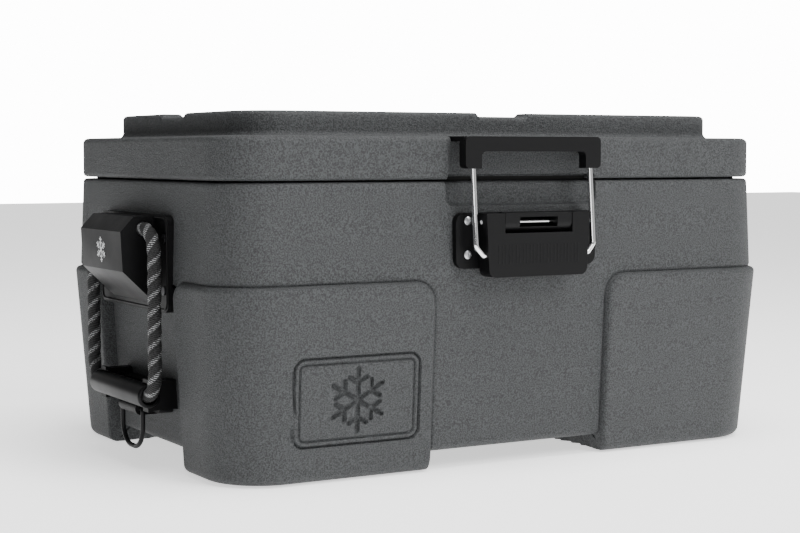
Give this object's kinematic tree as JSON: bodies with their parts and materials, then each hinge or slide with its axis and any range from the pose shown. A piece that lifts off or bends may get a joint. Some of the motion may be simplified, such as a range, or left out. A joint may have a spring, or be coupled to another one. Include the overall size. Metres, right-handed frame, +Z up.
{
  "type": "hard cooler box",
  "caption": "Rotomoulded hard cooler box with a hinged foam-filled lid, a front over-centre latch, rope end handles with grips, tie-down loops and a drain.",
  "frame": {"origin": "centre of the bounding box at the floor, under the middle of the cooler", "axes": "+X to the right seen from the front, along the box; +Y towards the hinged back, so the latch faces -Y; +Z up"},
  "size_m": [0.748, 0.486, 0.3604],
  "materials": {
    "grey_polyethylene": "pebbled rotomoulded polyethylene",
    "insulating_foam": "foam",
    "black_rubber": "matt",
    "black_plastic": "fine satin",
    "black_grip": "satin",
    "braided_rope": "black twist with light grey tracer yarns",
    "black_wire": "satin black",
    "polished_steel": "polished",
    "blackened_steel": "black oxide",
    "stainless_steel": "satin"
  },
  "bodies": {
    "cooler_body": {"body_shell": "grey_polyethylene", "body_foam": "insulating_foam", "foam_port_plug": "black_rubber", "foot_pads": "black_rubber", "hinge_body_leaf_left": "black_plastic", "hinge_body_leaf_right": "black_plastic", "hinge_pin_left": "stainless_steel", "hinge_pin_right": "stainless_steel", "hinge_body_screws": "stainless_steel", "latch_base": "black_plastic", "latch_screws": "stainless_steel", "latch_pivot_pin": "polished_steel", "handle_mount_left": "black_plastic", "handle_mount_right": "black_plastic", "handle_screws_left": "blackened_steel", "handle_screws_right": "blackened_steel", "grip_dock_left": "black_plastic", "grip_dock_right": "black_plastic", "dock_screws_left": "blackened_steel", "dock_screws_right": "blackened_steel", "drain_fitting": "black_plastic", "drain_washer": "black_rubber", "drain_nut": "black_plastic"},
    "lid": {"lid_shell": "grey_polyethylene", "lid_foam": "insulating_foam", "lid_gasket": "black_rubber", "hinge_lid_leaf_left": "black_plastic", "hinge_lid_leaf_right": "black_plastic", "hinge_lid_screws": "stainless_steel"},
    "latch_lever": {"latch_lever": "black_plastic"},
    "latch_bail": {"latch_rods": "polished_steel", "latch_hook": "black_plastic"},
    "handle_left": {"handle_rope_left": "braided_rope", "rope_ferrules_left": "stainless_steel", "handle_grip_left": "black_grip"},
    "handle_right": {"handle_rope_right": "braided_rope", "rope_ferrules_right": "stainless_steel", "handle_grip_right": "black_grip"},
    "tie_loop_left": {"tie_loop_left": "black_wire"},
    "tie_loop_right": {"tie_loop_right": "black_wire"},
    "drain_plug": {"drain_plug": "black_plastic", "drain_seal": "black_rubber"}
  },
  "joints": [
    {"name": "lid_hinge", "type": "hinge", "parent": "cooler_body", "child": "lid", "pos_m": [0, 0.2365, 0.2917], "axis": [-1, 0, 0], "range_deg": [0, 100]},
    {"name": "latch_lever_hinge", "type": "hinge", "parent": "cooler_body", "child": "latch_lever", "pos_m": [0, -0.2325, 0.25], "axis": [-1, 0, 0], "range_deg": [0, 95]},
    {"name": "latch_bail_hinge", "type": "hinge", "parent": "latch_lever", "child": "latch_bail", "pos_m": [0, -0.2375, 0.217], "axis": [1, 0, 0], "range_deg": [0, 125]},
    {"name": "handle_left_swing", "type": "hinge", "parent": "cooler_body", "child": "handle_left", "pos_m": [-0.35, 0.0065, 0.243], "axis": [0, 1, 0], "range_deg": [0, 170]},
    {"name": "handle_right_swing", "type": "hinge", "parent": "cooler_body", "child": "handle_right", "pos_m": [0.35, 0.0065, 0.243], "axis": [0, -1, 0], "range_deg": [0, 170]},
    {"name": "tie_loop_left_swing", "type": "hinge", "parent": "cooler_body", "child": "tie_loop_left", "pos_m": [-0.3405, 0.0065, 0.056], "axis": [0, 1, 0], "range_deg": [0, 85]},
    {"name": "tie_loop_right_swing", "type": "hinge", "parent": "cooler_body", "child": "tie_loop_right", "pos_m": [0.3405, 0.0065, 0.056], "axis": [0, -1, 0], "range_deg": [0, 85]},
    {"name": "drain_plug_pull", "type": "slide", "parent": "cooler_body", "child": "drain_plug", "axis": [0, 1, 0], "range_m": [0, 0.03]}
  ],
  "couplings": [
    {"joint": "latch_bail_hinge", "follows": "latch_lever_hinge", "ratio": 1.3}
  ]
}
